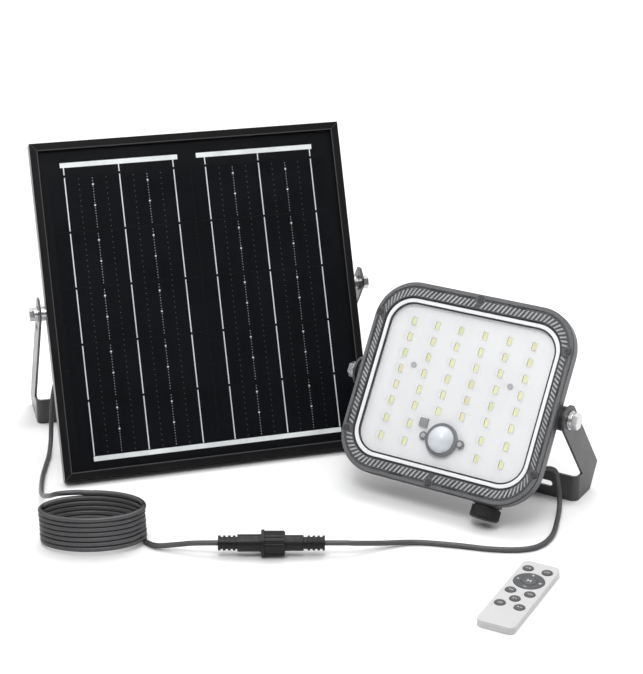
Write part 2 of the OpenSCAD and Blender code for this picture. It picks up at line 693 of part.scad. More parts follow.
module remote_top_shell() color([0.9, 0.9, 0.9]) at_remote() difference() {
  translate([0, 0, shell_split + gap]) linear_extrude(remote_t - shell_split - gap)
    remote_outline(0);
  translate([0, 0, shell_split - 1]) linear_extrude(remote_t - shell_split - 0.4)
    remote_outline(1.6);
  for (k = keys) translate([k.x, k.y, 0]) cylinder(r = button_r + 0.15, h = 20);
  translate([0, ring_z, 0]) cylinder(r = ring_r + 0.2, h = 20);
}

module remote_bottom_shell() color([0.88, 0.88, 0.88]) at_remote() difference() {
  linear_extrude(shell_split) remote_outline(0);
  difference() {
    translate([0, 0, 1.4]) linear_extrude(shell_split) remote_outline(1.6);
    for (x = [-13.5, 13.5], y = [-24, 16, 54]) translate([x, y, 0]) cylinder(r = 1.5, h = 3.35);
  }
  translate([0, -remote_l / 2 + 16, 0]) cube([25, 36, 10], center = true);
}

module remote_board() color([0.1, 0.35, 0.2]) at_remote() {
  translate([0, 8, 3.4]) linear_extrude(0.8) rounded(33, 104, 3);
  translate([-10, remote_l / 2 - 5, 4.15]) cube([4, 6.6, 1.6], center = true);
}

// Round key with a flange that stays under the shell
module key(p) color([0.4, 0.4, 0.41]) at_remote() translate([p.x, p.y, 5.2]) {
  cylinder(r = button_r, h = remote_t - 4.6);
  cylinder(r = button_r + 0.9, h = 0.7);
}

module mode_button() color([0.4, 0.4, 0.41]) at_remote() translate([0, ring_z, 5.2])
  cylinder(r = mode_r, h = remote_t - 4.6);

module ring_button() color([0.42, 0.42, 0.43]) at_remote() translate([0, ring_z, 5.2])
  difference() {
    union() {
      cylinder(r = ring_r, h = remote_t - 4.8);
      cylinder(r = ring_r + 0.9, h = 0.7);
    }
    translate([0, 0, -1]) cylinder(r = mode_r + 0.3, h = 10);
  }

module battery_tray() color([0.85, 0.85, 0.85]) at_remote() translate([0, -remote_l / 2, 0])
  difference() {
    union() {
      translate([-12.4, 0, 0.2]) cube([24.8, 33.8, 3]);
      translate([-12.4, 0, 0.2]) cube([24.8, 1.6, 3.7]);
    }
    translate([0, 18, 0.9]) cylinder(r = 10.2, h = 4);
    translate([0, 18, -1]) cylinder(r = 6, h = 9);
  }

module coin_cell() color([0.8, 0.8, 0.82]) at_remote()
  translate([0, 18 - remote_l / 2, 0.95]) cylinder(r = 10, h = 2.2);

frame_side_rails();
frame_end_rails();
frame_corner_keys();
panel_glass();
solar_cells();
cell_ribbons();
backsheet();
junction_box();
junction_box_lid();
junction_box_screws();
panel_cable_gland();
panel_pivot_blocks();
panel_pivot_bolts();
panel_pivot_washers();
panel_bracket();
lamp_bracket();
panel_cable();
lamp_cable();
socket_body();
coupling_nut();
plug_body();
plug_pins();
plug_seal();
lamp_housing();
front_cover();
cover_seal();
cover_screws();
reflector_frame();
led_board();
led_packages();
lens_plate();
pir_ring();
pir_dome();
pir_sensor();
board_screws();
sensor_window();
battery_cells();
battery_holder();
control_board();
lamp_cable_gland();
lamp_pivot_bolts();
lamp_pivot_washers();
lamp_pivot_pads();
power_button();
port_seal();
port_cap();
remote_top_shell();
remote_bottom_shell();
remote_board();
mode_button();
ring_button();
key(keys[0]);  // key_1
key(keys[1]);  // key_2
key(keys[2]);  // key_3
key(keys[3]);  // key_4
key(keys[4]);  // key_5
key(keys[5]);  // key_6
key(keys[6]);  // key_7
battery_tray();
coin_cell();
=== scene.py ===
"""Solar flood light set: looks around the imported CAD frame.

Each group of pieces has a local frame with x across, y into the object and z up its face. Sizes in
it are in millimetres, and materials work in metres.
"""

from math import cos, pi, radians, sin
import random

import bmesh
import bpy
from mathutils import Matrix, Vector


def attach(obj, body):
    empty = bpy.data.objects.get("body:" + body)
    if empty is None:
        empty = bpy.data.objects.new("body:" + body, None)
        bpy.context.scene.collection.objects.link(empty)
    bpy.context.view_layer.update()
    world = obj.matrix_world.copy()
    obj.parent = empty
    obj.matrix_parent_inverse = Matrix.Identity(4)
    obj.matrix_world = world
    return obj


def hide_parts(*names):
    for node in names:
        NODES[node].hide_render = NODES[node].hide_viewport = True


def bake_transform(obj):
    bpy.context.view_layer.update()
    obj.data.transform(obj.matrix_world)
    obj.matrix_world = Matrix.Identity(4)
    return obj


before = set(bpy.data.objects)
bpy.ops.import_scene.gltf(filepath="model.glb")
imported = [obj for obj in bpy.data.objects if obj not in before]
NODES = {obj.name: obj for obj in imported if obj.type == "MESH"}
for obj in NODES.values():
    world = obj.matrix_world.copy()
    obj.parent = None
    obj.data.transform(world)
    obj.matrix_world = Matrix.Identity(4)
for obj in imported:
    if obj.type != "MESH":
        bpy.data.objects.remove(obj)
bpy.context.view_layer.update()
MM = 0.001

# Solar panel: its frame, the frame's lip, two columns of cells, and the ribbons on each column
PANEL_W, PANEL_H, LIP = 350, 370, 8.0
CELL_COLUMNS_APART, CELL_ROWS = 158, 5
CELL_PITCH, CELL_H, CELL_MID = 61.85, 61.3, -7.7
CELLS_LOW = CELL_MID - CELL_ROWS / 2 * CELL_PITCH
RIBBONS, RIBBON_PITCH = 5, 30.46
RIBBON_FRONT, RIBBON_BACK = 4.7, 4.85
TOP_BUS, LOW_BUS, BUS_HALF = 159.2, -164.5, 2.7

# Flood light: the cover's width, height and corner radius, what it holds, and the port's cap
COVER = (231, 212, 44)
COVER_BACK, RIM_BACK = 0.6, 2.6
PIR_Z, PIR_R = -54, 14.8
SCREW_R = 3.6
SCREWS = [(0, 100.5), (0, -100.5)] + [(x, z) for z in (66, -66) for x in (-110, 110)]
LED_COLUMNS, LED_ROWS = 6, 8
LED_PITCH_X, LED_PITCH_Z, LED_MID = 28.3, 17.9, 2.2
CAP_R, CAP_H, CAP_BORE, CAP_OPEN = 15.5, 15.0, 11.08, -2.0

# Cables: the sheath's radius, the height at which it lies and the coil's ellipse
CABLE_R, LIE = 2.7, 2.8
PLUG_Z = 13.7
COIL_RX, COIL_RY, COIL_RISE, COIL_TURNS, COIL_STEPS = 52, 27, 5.5, 7, 60
# Where the standing cables end, in the frames of the coil and of the plug
PANEL_CABLE_END = (54.5, 263, 116)
LAMP_CABLE_END = (289.3, 107, 22)

# Remote: its round keys, its ring and the heights of their faces
KEYS = [(-9.9, 48), (9.9, 48), (-9.9, 1.9), (9.9, 1.9), (0, -11.5), (-9.9, -24.8), (9.9, -24.8)]
RING_CENTRE = (0, 25.1)
KEY_TOP, RING_TOP = 8.1, 7.9


# ---------- frames ----------

def place(x, y, z, yaw=0.0, tilt=0.0, back=0.0):
    """Local frame of a group: turned about z, leaning back about x, then moved out by "back"."""
    return (Matrix.Translation(Vector((x, y, z)) * MM) @ Matrix.Rotation(radians(yaw), 4, "Z")
            @ Matrix.Rotation(radians(-tilt), 4, "X") @ Matrix.Translation((0, -back * MM, 0)))


def shifted(at, x, y, z):
    return at @ Matrix.Translation(Vector((x, y, z)) * MM)


PANEL = place(-108.14, 115.34, 172, yaw=15.7, tilt=24, back=12.85)
LAMP = place(174.36, -11.16, 110, yaw=-31, tilt=33.5, back=21)
PORT = shifted(LAMP, 64, 18.5, -107.6)
PLUG = place(-14.64, -161.16, PLUG_Z)
REMOTE = place(215.36, -248.16, 0, yaw=-28)
COIL = place(-207.64, -135.16, 0)


# ---------- shader nodes ----------

def connect(tree, socket, value):
    """Feeds a socket from another socket, or sets it."""
    if isinstance(value, bpy.types.NodeSocket):
        tree.links.new(value, socket)
    else:
        socket.default_value = value


def add(tree, kind, inputs=None, **props):
    node = tree.nodes.new("ShaderNode" + kind)
    for key, value in props.items():
        setattr(node, key, value)
    for key, value in (inputs or {}).items():
        connect(tree, node.inputs[key], value)
    return node


def maths(tree, operation, *values, clamp=False):
    node = add(tree, "Math", dict(enumerate(values)), operation=operation, use_clamp=clamp)
    return node.outputs[0]


def blend_color(tree, factor, a, b):
    a, b = ((*color, 1.0) if isinstance(color, tuple) else color for color in (a, b))
    return add(tree, "Mix", {0: factor, 6: a, 7: b}, data_type="RGBA").outputs[2]


def spread(tree, value, low, high, to_low, to_high):
    """Maps low..high to to_low..to_high and stops at both ends."""
    node = add(tree, "MapRange", {"Value": value, "From Min": low, "From Max": high,
                                  "To Min": to_low, "To Max": to_high})
    return node.outputs[0]


def close_to(tree, value, middle, reach):
    """1 where the value lies within reach of middle."""
    apart = maths(tree, "ABSOLUTE", maths(tree, "SUBTRACT", value, middle))
    return maths(tree, "LESS_THAN", apart, reach)


def object_point(tree):
    return add(tree, "TexCoord").outputs["Object"]


def noise(tree, scale, detail=3.0, stretch=None, rough=0.5):
    point = object_point(tree)
    if stretch:
        point = add(tree, "Mapping", {"Vector": point, "Scale": stretch}).outputs[0]
    return add(tree, "TexNoise", {"Vector": point, "Scale": scale, "Detail": detail,
                                  "Roughness": rough}).outputs["Fac"]


def new_material(name):
    material = bpy.data.materials.new(name)
    material.use_nodes = True
    tree = material.node_tree
    return material, tree, tree.nodes["Principled BSDF"]


def opened(material):
    """A finish's node tree, its shader and what feeds its base colour."""
    tree = material.node_tree
    shader = tree.nodes["Principled BSDF"]
    return tree, shader, shader.inputs["Base Color"].links[0].from_socket


# ---------- materials ----------

FINE_RELIEF = 0.0002
DUST = (0.55, 0.53, 0.50)
WHITE = (1, 1, 1, 1)


def finish(name, color, rough, metal=0.0, grain=1400, bump=0.12, mottle=0.07, dust=0.0,
           scratch=0.0, coat=0.0, level=0.5):
    """A real surface: mottled colour, uneven gloss, fine grain, dust on top and faint scratches."""
    material, tree, shader = new_material(name)
    cloud = noise(tree, 22, 4)
    fine = noise(tree, grain, 2)
    dark = tuple(c * (1 - mottle) for c in color)
    light = tuple(min(1.0, c * (1 + mottle)) for c in color)
    tint = blend_color(tree, spread(tree, cloud, 0.35, 0.65, 0, 1), dark, light)
    gloss = maths(tree, "ADD", spread(tree, cloud, 0.3, 0.7, rough - 0.05, rough + 0.06),
                  spread(tree, fine, 0.3, 0.7, -0.03, 0.04), clamp=True)
    if dust:
        up = add(tree, "SeparateXYZ", {"Vector": add(tree, "NewGeometry").outputs["Normal"]})
        lies = maths(tree, "MULTIPLY", spread(tree, up.outputs["Z"], 0.3, 0.95, 0, dust),
                     spread(tree, noise(tree, 160, 5, rough=0.7), 0.4, 0.62, 0.2, 1.0), clamp=True)
        tint = blend_color(tree, lies, tint, DUST)
        gloss = maths(tree, "ADD", gloss, maths(tree, "MULTIPLY", lies, 0.35), clamp=True)
    height = fine
    if scratch:
        lines = noise(tree, 300, 1, stretch=(9.0, 1.0, 0.25))
        mark = spread(tree, lines, 0.66, 0.72, 0, 1)
        gloss = maths(tree, "ADD", gloss, maths(tree, "MULTIPLY", mark, scratch), clamp=True)
        height = maths(tree, "SUBTRACT", fine, maths(tree, "MULTIPLY", mark, 0.4))
    normal = add(tree, "Bump", {"Height": height, "Strength": bump, "Distance": FINE_RELIEF})
    for key, value in {"Base Color": tint, "Roughness": gloss, "Normal": normal.outputs[0],
                       "Metallic": metal, "Coat Weight": coat, "Coat Roughness": 0.08,
                       "Specular IOR Level": level}.items():
        connect(tree, shader.inputs[key], value)
    return material


def clear(name, ior, tint, rough=0.03, haze=0.0):
    """Clear sheet: light goes straight through and the surface mirrors by angle."""
    material, tree, shader = new_material(name)
    tree.nodes.remove(shader)
    gloss = spread(tree, noise(tree, 60, 3), 0.3, 0.7, rough * 0.6, rough * 1.6)
    normal = add(tree, "Bump", {"Height": noise(tree, 35, 2), "Strength": 0.02,
                                "Distance": FINE_RELIEF}).outputs[0]
    see = add(tree, "BsdfTransparent", {"Color": (*tint, 1.0)})
    mirror = add(tree, "BsdfGlossy", {"Color": WHITE, "Roughness": gloss, "Normal": normal})
    front = maths(tree, "SUBTRACT", 1.0, add(tree, "NewGeometry").outputs["Backfacing"])
    amount = maths(tree, "MULTIPLY", front,
                   add(tree, "Fresnel", {"IOR": ior, "Normal": normal}).outputs[0])
    out = add(tree, "MixShader", {0: amount, 1: see.outputs[0], 2: mirror.outputs[0]}).outputs[0]
    if haze:
        soft = add(tree, "BsdfDiffuse", {"Color": (0.97, 0.975, 0.98, 1.0)})
        out = add(tree, "MixShader", {0: haze, 1: out, 2: soft.outputs[0]}).outputs[0]
    tree.links.new(out, tree.nodes["Material Output"].inputs["Surface"])
    return material


def frame_black():
    """Black frame with painted highlights as lighter lines at the lip and the mitres on its front;
    the outer side faces carry a painted reflection, light grey with a darker line at the groove.
    """
    material = finish("black_aluminium", (0.0060, 0.0060, 0.0068), 0.42, 0.0, grain=1500, bump=0.08,
                      level=0.17)
    tree, shader, black = opened(material)
    point = add(tree, "SeparateXYZ", {"Vector": object_point(tree)}).outputs
    across = maths(tree, "ABSOLUTE", point["X"])
    height = maths(tree, "ABSOLUTE", point["Z"])
    skin, front = 0.15 * MM, 0.9 * MM
    side = maths(tree, "SUBTRACT", PANEL_W / 2 * MM, across)
    end = maths(tree, "SUBTRACT", PANEL_H / 2 * MM, height)
    # Painted highlight: a lighter colour on the front along the lip and the mitres stands in for
    # light caught by those edges.
    lip = close_to(tree, maths(tree, "MINIMUM", side, end), LIP * MM, 0.6 * MM)
    mitre = close_to(tree, side, end, 0.5 * MM)
    painted_edge_highlight = maths(tree, "MULTIPLY", maths(tree, "LESS_THAN", point["Y"], front),
                 maths(tree, "MAXIMUM", lip, mitre))
    black = blend_color(tree, painted_edge_highlight, black, (0.055, 0.055, 0.058))
    # Painted reflection: the outer side faces get a light grey in place of the grazing reflection of
    # the bright surroundings, darker along the groove.
    groove = close_to(tree, point["Y"], 6.8 * MM, 0.5 * MM)
    painted_side_reflection = blend_color(tree, groove, (0.24, 0.242, 0.248), (0.08, 0.08, 0.083))
    outer = maths(tree, "MULTIPLY", maths(tree, "GREATER_THAN", across, PANEL_W / 2 * MM - skin),
                  maths(tree, "GREATER_THAN", point["Y"], front))
    tree.links.new(blend_color(tree, outer, black, painted_side_reflection), shader.inputs["Base Color"])
    return material


def cable_sheath():
    """Satin sheath with painted shade: its colour is lightest where it faces the camera and darkens
    towards its outline.
    """
    material = finish("cable_black", (0.070, 0.070, 0.074), 0.34, bump=0.2, grain=900, dust=0.06,
                      level=0.4)
    tree, shader, base = opened(material)
    # Painted shade: the colour runs from the base to near black as the surface turns away from the
    # camera.
    turned = add(tree, "LayerWeight", {"Blend": 0.5}).outputs["Facing"]
    edge = spread(tree, turned, 0.18, 0.62, 0, 1)
    tree.links.new(blend_color(tree, edge, base, (0.005, 0.005, 0.006)), shader.inputs["Base Color"])
    return material


def silicon():
    """Near-black cell with fine printed fingers."""
    finger_pitch, finger_share = 2 * MM, 0.09
    material = finish("silicon", (0.0040, 0.0041, 0.0058), 0.34, grain=2500, bump=0.02, mottle=0.10,
                      level=0.10)
    tree, shader, base = opened(material)
    height = add(tree, "SeparateXYZ", {"Vector": object_point(tree)}).outputs["Z"]
    wave = maths(tree, "FRACT", maths(tree, "MULTIPLY", height, 1 / finger_pitch))
    line = maths(tree, "LESS_THAN", wave, finger_share)
    tree.links.new(blend_color(tree, line, base, (0.020, 0.021, 0.024)), shader.inputs["Base Color"])
    return material


def dome_white():
    """Milky Fresnel dome with its lens facets as relief."""
    material = finish("dome_white", (0.66, 0.69, 0.73), 0.20, bump=0.1, mottle=0.03, coat=0.5)
    tree, shader, _ = opened(material)
    facet = add(tree, "TexVoronoi", {"Vector": object_point(tree), "Scale": 260},
                feature="DISTANCE_TO_EDGE")
    edge = spread(tree, facet.outputs["Distance"], 0.0, 0.08, 0, 1)
    bump = add(tree, "Bump", {"Height": edge, "Strength": 0.5, "Distance": 0.0003})
    tree.links.new(bump.outputs[0], shader.inputs["Normal"])
    shader.inputs["Subsurface Weight"].default_value = 0.3
    shader.inputs["Subsurface Radius"].default_value = (0.003, 0.003, 0.003)
    return material


FINISHES = {
    "aluminium": dict(color=(0.72, 0.72, 0.74), rough=0.34, metal=1.0, scratch=0.15),
    "zinc_steel": dict(color=(0.60, 0.60, 0.61), rough=0.27, metal=1.0, bump=0.05, scratch=0.1),
    "steel": dict(color=(0.46, 0.46, 0.475), rough=0.45, metal=0.2, bump=0.05),
    "screw_steel": dict(color=(0.10, 0.10, 0.105), rough=0.34, metal=0.6, bump=0.2),
    "panel_bracket_paint": dict(color=(0.022, 0.0225, 0.024), rough=0.38, metal=0.1, grain=1800,
                                bump=0.25, dust=0.05, scratch=0.1, coat=0.35),
    "lamp_bracket_paint": dict(color=(0.050, 0.0505, 0.053), rough=0.40, metal=0.2, grain=1800,
                               bump=0.3, dust=0.10, scratch=0.1),
    "housing_paint": dict(color=(0.078, 0.079, 0.083), rough=0.40, metal=0.2, grain=1800, bump=0.35,
                          dust=0.10),
    "black_sheet": dict(color=(0.005, 0.005, 0.006), rough=0.45, bump=0.1, level=0.12),
    "black_plastic": dict(color=(0.009, 0.009, 0.010), rough=0.40, bump=0.3, dust=0.04, level=0.26),
    "rubber_black": dict(color=(0.010, 0.010, 0.011), rough=0.50, bump=0.35, grain=1200),
    "seal_orange": dict(color=(0.55, 0.12, 0.04), rough=0.5),
    "brass_pins": dict(color=(0.80, 0.58, 0.24), rough=0.22, metal=1.0),
    "white_plastic": dict(color=(0.90, 0.90, 0.91), rough=0.38, mottle=0.02),
    "board_white": dict(color=(0.985, 0.98, 0.99), rough=0.40, bump=0.15, mottle=0.02),
    "silver_plastic": dict(color=(0.20, 0.205, 0.215), rough=0.32, metal=0.2, bump=0.15),
    "smoke_window": dict(color=(0.30, 0.30, 0.31), rough=0.15, coat=0.4),
    "cell_wrap": dict(color=(0.05, 0.22, 0.50), rough=0.30, coat=0.4),
    "circuit_board": dict(color=(0.02, 0.16, 0.06), rough=0.35, bump=0.4, grain=500),
    "red_plastic": dict(color=(0.50, 0.05, 0.03), rough=0.35),
    "remote_white": dict(color=(0.53, 0.53, 0.535), rough=0.36, bump=0.15, mottle=0.02, dust=0.04),
    "key_grey": dict(color=(0.066, 0.067, 0.071), rough=0.50, bump=0.3, mottle=0.05),
    "key_light": dict(color=(0.078, 0.079, 0.083), rough=0.50, bump=0.3, mottle=0.05),
    "mark_white": dict(color=(0.75, 0.75, 0.76), rough=0.5),
    "ribbon": dict(color=(0.86, 0.87, 0.90), rough=0.42, metal=0.35, bump=0.3, grain=700),
    "ribbon_faint": dict(color=(0.16, 0.16, 0.17), rough=0.45, metal=0.3),
    "ribbon_dot": dict(color=(0.55, 0.56, 0.58), rough=0.42, metal=0.35),
    "bus_strip": dict(color=(0.90, 0.90, 0.91), rough=0.42, metal=0.15, bump=0.9, grain=420,
                      mottle=0.12),
    "hatch": dict(color=(0.40, 0.405, 0.415), rough=0.38, bump=0.1, mottle=0.15),
    "rim": dict(color=(0.085, 0.086, 0.090), rough=0.40, bump=0.2),
    "rim_edge": dict(color=(0.14, 0.141, 0.146), rough=0.33, bump=0.2),
    "rim_clip": dict(color=(0.022, 0.022, 0.024), rough=0.5),
    "led_case": dict(color=(0.80, 0.80, 0.74), rough=0.4, bump=0.1, mottle=0.02),
    "led_a": dict(color=(0.99, 0.97, 0.42), rough=0.32, coat=0.3, mottle=0.10),
    "led_b": dict(color=(0.99, 0.87, 0.42), rough=0.32, coat=0.3, mottle=0.10),
    "led_c": dict(color=(0.86, 0.96, 0.40), rough=0.32, coat=0.3, mottle=0.10),
    "led_lens_shade": dict(color=(0.10, 0.10, 0.08), rough=0.4),
}
LOOK = {name: finish(name, **values) for name, values in FINISHES.items()}
LOOK["solar_glass"] = clear("solar_glass", 1.11, (0.97, 0.98, 0.98), 0.05)
LOOK["clear_cover"] = clear("clear_cover", 1.34, (0.997, 0.998, 1.0), 0.035)
LOOK["lens_clear"] = clear("lens_clear", 1.25, (0.997, 0.998, 1.0), 0.05, haze=0.10)
LOOK["black_aluminium"] = frame_black()
LOOK["silicon"] = silicon()
LOOK["cable_black"] = cable_sheath()
LOOK["dome_white"] = dome_white()


# ---------- meshes ----------

def weld(mesh, dist):
    """Joins vertices that lie together and turns all faces outwards."""
    bm = bmesh.new()
    bm.from_mesh(mesh)
    bmesh.ops.remove_doubles(bm, verts=bm.verts, dist=dist)
    bmesh.ops.recalc_face_normals(bm, faces=bm.faces)
    bm.to_mesh(mesh)
    bm.free()


def shade(mesh, angle):
    mesh.shade_smooth()
    mesh.set_sharp_from_angle(angle=radians(angle))


def take_material(mesh, look):
    """Gives a CAD mesh one material and drops its flat normals."""
    if "custom_normal" in mesh.attributes:
        mesh.attributes.remove(mesh.attributes["custom_normal"])
    mesh.materials.clear()
    mesh.materials.append(LOOK[look])
    mesh.polygons.foreach_set("material_index", [0] * len(mesh.polygons))


def edges(obj, width, segments=2):
    """Rounds an object's sharp edges, with width in millimetres."""
    bevel = obj.modifiers.new("edges", "BEVEL")
    bevel.width = width * MM
    bevel.segments = segments
    bevel.limit_method = "ANGLE"
    bevel.angle_limit = radians(32)
    bevel.harden_normals = False
    even = obj.modifiers.new("even", "WEIGHTED_NORMAL")
    even.keep_sharp = False


def settle(name, mesh, at, body, nodes=(), bevel=0):
    """Puts a mesh in the scene at its group's frame and tells the frame what it is."""
    obj = bpy.data.objects.new(name, mesh)
    bpy.context.scene.collection.objects.link(obj)
    obj.matrix_world = at
    if body:
        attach(obj, body)
    if nodes:
        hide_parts(*nodes)
    if bevel:
        edges(obj, bevel)
    return obj


def piece(name, shape, at, body, looks, nodes=(), angle=35):
    """A new piece from a Shape in the local frame "at"; its faces' numbers pick from looks."""
    mesh = bpy.data.meshes.new(name)
    mesh.from_pydata([Vector(v) * MM for v in shape.verts], [], shape.faces)
    for look in looks:
        mesh.materials.append(LOOK[look])
    mesh.polygons.foreach_set("material_index", shape.index)
    weld(mesh, 2e-7)
    shade(mesh, angle)
    return settle(name, mesh, at, body, nodes)


def local_copy(name, node, at, body, look, bevel=0, angle=35):
    """The CAD shape itself at its own place, held in local coordinates for its texture."""
    mesh = NODES[node].data.copy()
    mesh.transform(at.inverted())
    take_material(mesh, look)
    bm = bmesh.new()
    bm.from_mesh(mesh)
    bmesh.ops.remove_doubles(bm, verts=bm.verts, dist=2e-6)
    bmesh.ops.dissolve_limit(bm, angle_limit=radians(1), verts=bm.verts, edges=bm.edges)
    bm.to_mesh(mesh)
    bm.free()
    shade(mesh, angle)
    return settle(name, mesh, at, body, (node,), bevel)


class Shape:
    """Vertices and faces gathered for one piece, with a material number per face."""

    def __init__(self):
        self.verts, self.faces, self.index = [], [], []

    def put(self, verts, faces, index=0):
        base = len(self.verts)
        self.verts += [tuple(v) for v in verts]
        self.faces += [tuple(base + i for i in f) for f in faces]
        self.index += [index] * len(faces)

    def box(self, x1, x2, y1, y2, z1, z2, index=0):
        self.put([(x, y, z) for x in (x1, x2) for y in (y1, y2) for z in (z1, z2)],
                 [(0, 1, 3, 2), (4, 6, 7, 5), (0, 4, 5, 1), (2, 3, 7, 6), (0, 2, 6, 4),
                  (1, 5, 7, 3)], index)

    def prism(self, front, back, index=0):
        """Closed solid between two outlines with the same number of points."""
        n = len(front)
        faces = [tuple(range(n)), tuple(range(2 * n - 1, n - 1, -1))]
        faces += [(i, n + i, n + (i + 1) % n, (i + 1) % n) for i in range(n)]
        self.put(list(front) + list(back), faces, index)

    def rows(self, rings, index=0, closed=False):
        """Skin through rings with the same number of points; closed joins the last to the first."""
        n, m = len(rings[0]), len(rings)
        faces = [(j * n + k, j * n + (k + 1) % n, (j + 1) % m * n + (k + 1) % n, (j + 1) % m * n + k)
                 for j in range(m if closed else m - 1) for k in range(n)]
        if not closed:
            faces += [tuple(range(n))[::-1], tuple((m - 1) * n + k for k in range(n))]
        self.put([p for ring in rings for p in ring], faces, index)

    def band(self, outer, inner, front, back, index=0):
        """Flat ring between two outlines, from front to back."""
        self.rows([at_depth(outer, front), at_depth(inner, front), at_depth(inner, back),
                   at_depth(outer, back)], index, closed=True)

    def turned(self, profile, centre, segments, index=0):
        """Revolves a closed (radius, depth) profile about the y axis through (x, z) centre."""
        around = [2 * pi * k / segments for k in range(segments)]
        self.rows([[(centre[0] + r * sin(a), depth, centre[1] + r * cos(a)) for a in around]
                   for r, depth in profile], index, closed=True)


def outline(w, h, r, corner=10, across=1, up=1):
    """Rounded rectangle in x and z, anticlockwise, with its straight sides divided."""
    points = []
    for q, (sx, sz) in enumerate(((1, 1), (-1, 1), (-1, -1), (1, -1))):
        cx, cz = sx * (w / 2 - r), sz * (h / 2 - r)
        for k in range(corner + 1):
            a = radians(90 * q + 90 * k / corner)
            points.append((cx + r * cos(a), cz + r * sin(a)))
        x, z = points[-1]
        steps = across if q % 2 == 0 else up
        run = (w - 2 * r) if q % 2 == 0 else (h - 2 * r)
        dx, dz = ((-1, 0), (0, -1), (1, 0), (0, 1))[q]
        points += [(x + dx * run * k / steps, z + dz * run * k / steps) for k in range(1, steps)]
    return points


def at_depth(points, y):
    return [(x, y, z) for x, z in points]


def circle(cx, cz, r, count=48):
    return [(cx + r * cos(2 * pi * k / count), cz + r * sin(2 * pi * k / count))
            for k in range(count)]


def stroke(a, b, half):
    """Corners of a straight stroke from a to b with the given half width."""
    a, b = Vector(a), Vector(b)
    side = Vector((-(b - a).y, (b - a).x)).normalized() * half
    return [a - side, b - side, b + side, a + side]


def pierced(outlines, y1, y2):
    """Mesh of a flat plate facing y whose first outline is the edge and the others are holes."""
    curve = bpy.data.curves.new("plate", "CURVE")
    curve.dimensions = "2D"
    curve.fill_mode = "BOTH"
    curve.extrude = (y2 - y1) / 2 * MM
    for points in outlines:
        spline = curve.splines.new("POLY")
        spline.points.add(len(points) - 1)
        for p, (x, z) in zip(spline.points, points):
            p.co = (x * MM, z * MM, 0, 1)
        spline.use_cyclic_u = True
    holder = bpy.data.objects.new("plate", curve)
    mesh = bpy.data.meshes.new_from_object(holder)
    bpy.data.objects.remove(holder)
    mesh.transform(Matrix.Translation((0, (y1 + y2) / 2 * MM, 0)) @ Matrix.Rotation(pi / 2, 4, "X"))
    mesh.materials.clear()
    weld(mesh, 2e-7)
    shade(mesh, 35)
    return mesh


def smooth_path(points, steps):
    """Catmull-Rom curve through the points."""
    p = [Vector(q) for q in points]
    out = []
    for i in range(len(p) - 1):
        a, b, c, d = p[max(i - 1, 0)], p[i], p[i + 1], p[min(i + 2, len(p) - 1)]
        for k in range(steps):
            t = k / steps
            out.append(0.5 * (2 * b + (c - a) * t + (2 * a - 5 * b + 4 * c - d) * t * t
                              + (3 * b - a - 3 * c + d) * t ** 3))
    return out + [p[-1]]


def tube(path, radius, sides=18):
    """A round bar swept along a path."""
    path = [Vector(p) for p in path]
    normal = Vector((0.1, 0.2, 1))
    around = [2 * pi * k / sides for k in range(sides)]
    rings = []
    for i, p in enumerate(path):
        tangent = (path[min(i + 1, len(path) - 1)] - path[max(i - 1, 0)]).normalized()
        normal = (normal - normal.dot(tangent) * tangent).normalized()
        other = tangent.cross(normal)
        rings.append([p + radius * (cos(a) * normal + sin(a) * other) for a in around])
    shape = Shape()
    shape.rows(rings)
    return shape


# ---------- CAD nodes shown as they are ----------

def dress(node, look, bevel=0.0):
    """Gives a CAD node its material, and rounded edges where bevel (millimetres) isn't 0."""
    obj = NODES[node]
    take_material(obj.data, look)
    obj.data.shade_smooth()
    joined = obj.modifiers.new("weld", "WELD")
    joined.merge_threshold = 2e-6
    if bevel:
        flat = obj.modifiers.new("flat", "DECIMATE")
        flat.decimate_type = "DISSOLVE"
        flat.angle_limit = radians(1)
        edges(obj, bevel)
    else:
        split = obj.modifiers.new("split", "EDGE_SPLIT")
        split.split_angle = radians(35)


